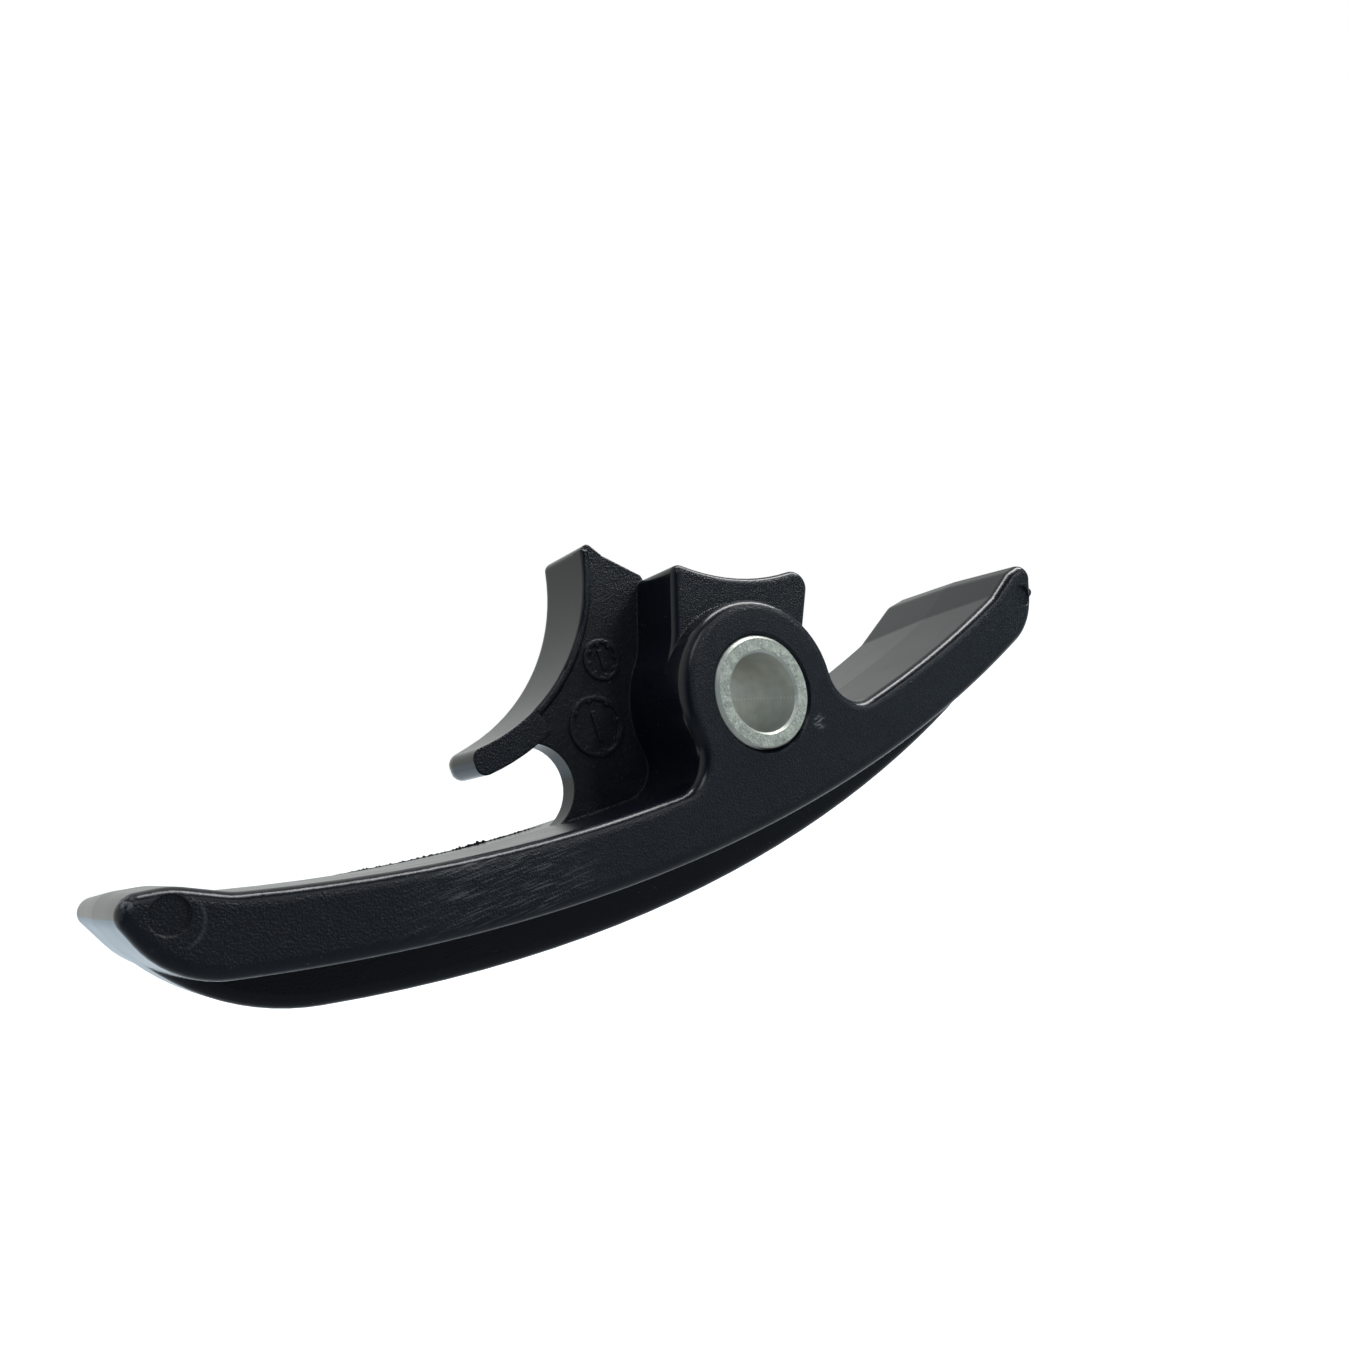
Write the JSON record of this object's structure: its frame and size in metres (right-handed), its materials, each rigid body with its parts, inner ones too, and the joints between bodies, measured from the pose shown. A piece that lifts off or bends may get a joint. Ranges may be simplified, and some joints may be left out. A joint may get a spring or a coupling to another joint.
{
  "type": "timing chain guide",
  "caption": "Moulded plastic timing chain guide: a curved rail with a keel underneath, a curved wing above it, and a metal bush that it pivots on.",
  "frame": {"origin": "on the axis of the bolt hole, halfway through the width of the guide", "axes": "+X along the chord of the rail towards its turned-up lip, +Y along the bolt hole away from the side that the picture shows, +Z away from the keel"},
  "size_m": [0.1109, 0.022, 0.038],
  "materials": {
    "guide_plastic": "black moulded polyamide with a fine grain",
    "bush_metal": "pressed and sintered, fine granular face"
  },
  "bodies": {
    "bush": {"pivot_bush": "bush_metal"},
    "guide": {"guide_body": "guide_plastic"}
  },
  "joints": [
    {"name": "guide_pivot", "type": "hinge", "parent": "bush", "child": "guide", "pos_m": [0, 0, 0], "axis": [0, 1, 0], "continuous": true}
  ]
}
